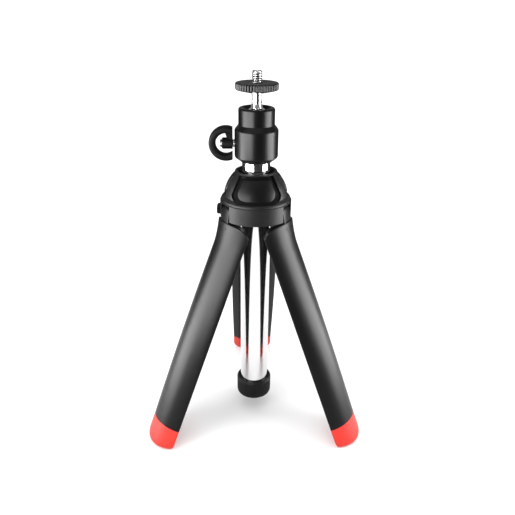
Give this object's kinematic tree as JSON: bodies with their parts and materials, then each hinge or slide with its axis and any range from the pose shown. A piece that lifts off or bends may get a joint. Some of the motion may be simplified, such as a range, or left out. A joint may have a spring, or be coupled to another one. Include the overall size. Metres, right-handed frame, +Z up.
{
  "type": "mini tripod with ball head",
  "caption": "Table tripod for a webcam: folding black legs with red rubber feet, chrome telescopic column, small ball head with camera screw.",
  "frame": {"origin": "centre of the camera seat, the top of the rubber pad, on the axis of the camera screw", "axes": "+Z up along the column and the camera screw; +Y towards the back leg, so the two front legs point left (-X) and right (+X) of -Y; the clamp knob is on the -X side"},
  "size_m": [0.15, 0.135, 0.2438],
  "materials": {
    "bright_steel": "satin",
    "black_knurl": "satin",
    "black_rubber": "matte",
    "chrome": "polished",
    "head_black": "satin",
    "white_nylon": "matte",
    "dull_brass": "satin",
    "knob_black": "matte",
    "glide_brown": "matte",
    "hub_black": "satin",
    "panel_black": "satin",
    "black_screw": "satin",
    "leg_black": "satin",
    "red_rubber": "satin"
  },
  "bodies": {
    "hub": {"outer_tube": "chrome", "end_cap": "black_rubber", "tube_plug": "hub_black", "hub_core": "hub_black", "shoulder_cover": "hub_black", "window_panel_1": "panel_black", "window_panel_2": "panel_black", "window_panel_3": "panel_black", "strap_lug": "knob_black", "hinge_pins": "bright_steel", "hinge_washers": "bright_steel", "cover_screws": "black_screw"},
    "leg_back": {"leg_1": "leg_black", "foot_1": "red_rubber"},
    "leg_left": {"leg_2": "leg_black", "foot_2": "red_rubber"},
    "leg_right": {"leg_3": "leg_black", "foot_3": "red_rubber"},
    "middle_stage": {"middle_tube": "chrome", "middle_glide": "glide_brown"},
    "head": {"inner_tube": "chrome", "inner_glide": "glide_brown", "column_head": "chrome", "head_base": "head_black", "head_housing": "head_black", "lift_plunger": "dull_brass"},
    "ball_cup": {"ball_seat": "white_nylon"},
    "ball": {"ball_stem": "chrome", "camera_stud": "bright_steel"},
    "disc": {"lock_disc": "black_knurl", "disc_pad": "black_rubber"},
    "clamp_pin": {"pressure_pin": "bright_steel"},
    "knob": {"clamp_screw": "bright_steel", "clamp_knob": "knob_black"}
  },
  "joints": [
    {"name": "leg_back_fold", "type": "hinge", "parent": "hub", "child": "leg_back", "pos_m": [0, 0.018, -0.0775], "axis": [1, 0, 0], "range_deg": [-22.5, 0]},
    {"name": "leg_left_fold", "type": "hinge", "parent": "hub", "child": "leg_left", "pos_m": [-0.01559, -0.009, -0.0775], "axis": [-0.5, 0.866, 0], "range_deg": [-22.5, 0]},
    {"name": "leg_right_fold", "type": "hinge", "parent": "hub", "child": "leg_right", "pos_m": [0.01559, -0.009, -0.0775], "axis": [-0.5, -0.866, 0], "range_deg": [-22.5, 0]},
    {"name": "middle_slide", "type": "slide", "parent": "hub", "child": "middle_stage", "axis": [0, 0, 1], "range_m": [0, 0.115]},
    {"name": "top_slide", "type": "slide", "parent": "middle_stage", "child": "head", "axis": [0, 0, 1], "range_m": [0, 0.115]},
    {"name": "ball_pan", "type": "hinge", "parent": "head", "child": "ball_cup", "pos_m": [0, 0, -0.0213], "axis": [0, 0, 1], "continuous": true},
    {"name": "ball_tilt", "type": "hinge", "parent": "ball_cup", "child": "ball", "pos_m": [0, 0, -0.0213], "axis": [1, 0, 0], "range_deg": [-29, 29]},
    {"name": "disc_turn", "type": "hinge", "parent": "ball", "child": "disc", "pos_m": [0, 0, -0.002], "axis": [0, 0, 1], "continuous": true},
    {"name": "clamp_travel", "type": "slide", "parent": "head", "child": "clamp_pin", "axis": [-1, 0, 0], "range_m": [0, 0.001]},
    {"name": "knob_turn", "type": "hinge", "parent": "clamp_pin", "child": "knob", "pos_m": [-0.0146, 0, -0.0363], "axis": [-1, 0, 0], "range_deg": [0, 450.1]}
  ],
  "couplings": [
    {"joint": "knob_turn", "follows": "clamp_travel", "rad_per_m": 7854}
  ]
}
